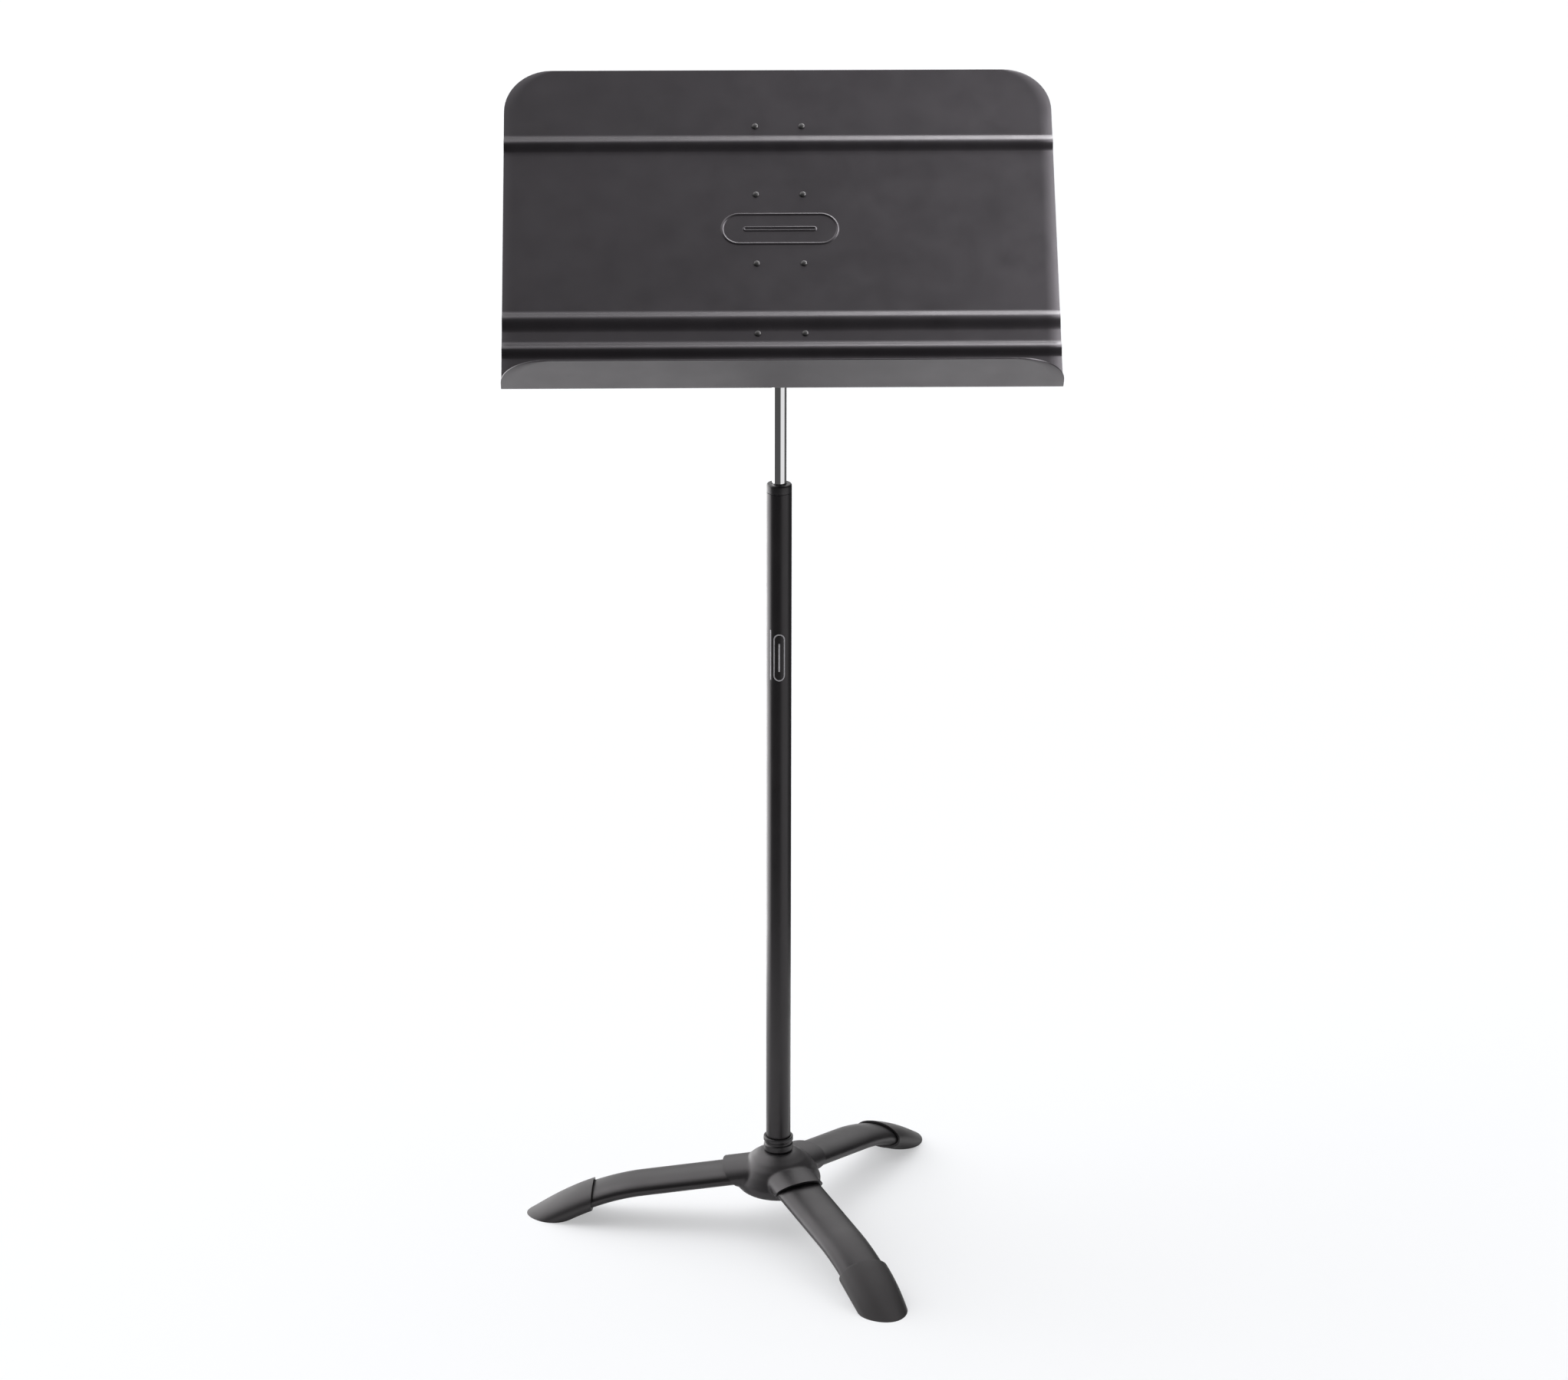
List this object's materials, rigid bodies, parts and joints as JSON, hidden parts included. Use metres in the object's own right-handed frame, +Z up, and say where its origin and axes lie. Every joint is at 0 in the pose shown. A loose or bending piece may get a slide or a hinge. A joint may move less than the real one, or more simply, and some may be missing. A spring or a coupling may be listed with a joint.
{
  "type": "music stand",
  "caption": "Free-standing music stand: a ribbed sheet-metal desk with a ledge tilts on a chromed tube that slides in a black mast on a tripod base with rubber boots.",
  "frame": {"origin": "centre of the bounding box's bottom face, on the floor; the mast stands 9.3 mm behind it", "axes": "+Z up, X across the desk with the reader's right towards +X, the reader at -Y; the desk leans back towards +Y"},
  "size_m": [0.508, 0.4372, 1.13],
  "materials": {
    "black_paint": "satin black powder coat",
    "black_casting": "matte black coat over a casting",
    "black_plastic": "moulded, fine grain",
    "rubber": "matte",
    "chrome": "polished",
    "steel": "zinc plated",
    "rivet_black": "black",
    "nylon": "moulded"
  },
  "bodies": {
    "base": {"base_collar": "black_plastic", "base_hub": "black_casting", "front_boot": "rubber", "front_leg": "black_paint", "front_leg_screw": "steel", "hub_bolt": "steel", "hub_bolt_washer": "steel", "left_boot": "rubber", "left_leg": "black_paint", "left_leg_screw": "steel", "outer_tube": "black_paint", "rear_boot": "rubber", "rear_leg": "black_paint", "rear_leg_screw": "steel", "tube_cap": "black_plastic", "tube_plug": "steel"},
    "clutch": {"clutch_sleeve": "nylon", "clutch_tension_ring": "steel"},
    "mast": {"inner_tube": "chrome", "mast_end_plug": "steel", "mast_snap_ring": "steel", "tilt_head": "black_casting", "head_pin": "steel"},
    "desk": {"desk_plate": "black_paint", "desk_bracket": "black_paint", "tilt_bolt": "steel", "tilt_bolt_washer": "steel", "tilt_nut_washer": "steel", "tilt_lock_nut": "steel", "left_friction_washer": "nylon", "right_friction_washer": "nylon", "rivet_left_1": "rivet_black", "rivet_left_2": "rivet_black", "rivet_left_3": "rivet_black", "rivet_left_4": "rivet_black", "rivet_right_1": "rivet_black", "rivet_right_2": "rivet_black", "rivet_right_3": "rivet_black", "rivet_right_4": "rivet_black"}
  },
  "joints": [
    {"name": "height_slide", "type": "slide", "parent": "base", "child": "clutch", "axis": [0, 0, 1], "range_m": [-0.175, 0.29]},
    {"name": "mast_swivel", "type": "hinge", "parent": "clutch", "child": "mast", "pos_m": [0, 0.0093, 0.9807], "axis": [0, 0, 1], "continuous": true},
    {"name": "desk_tilt", "type": "hinge", "parent": "mast", "child": "desk", "pos_m": [0, 0.0093, 0.9807], "axis": [-1, 0, 0], "range_deg": [-44.9, 45.1]}
  ]
}
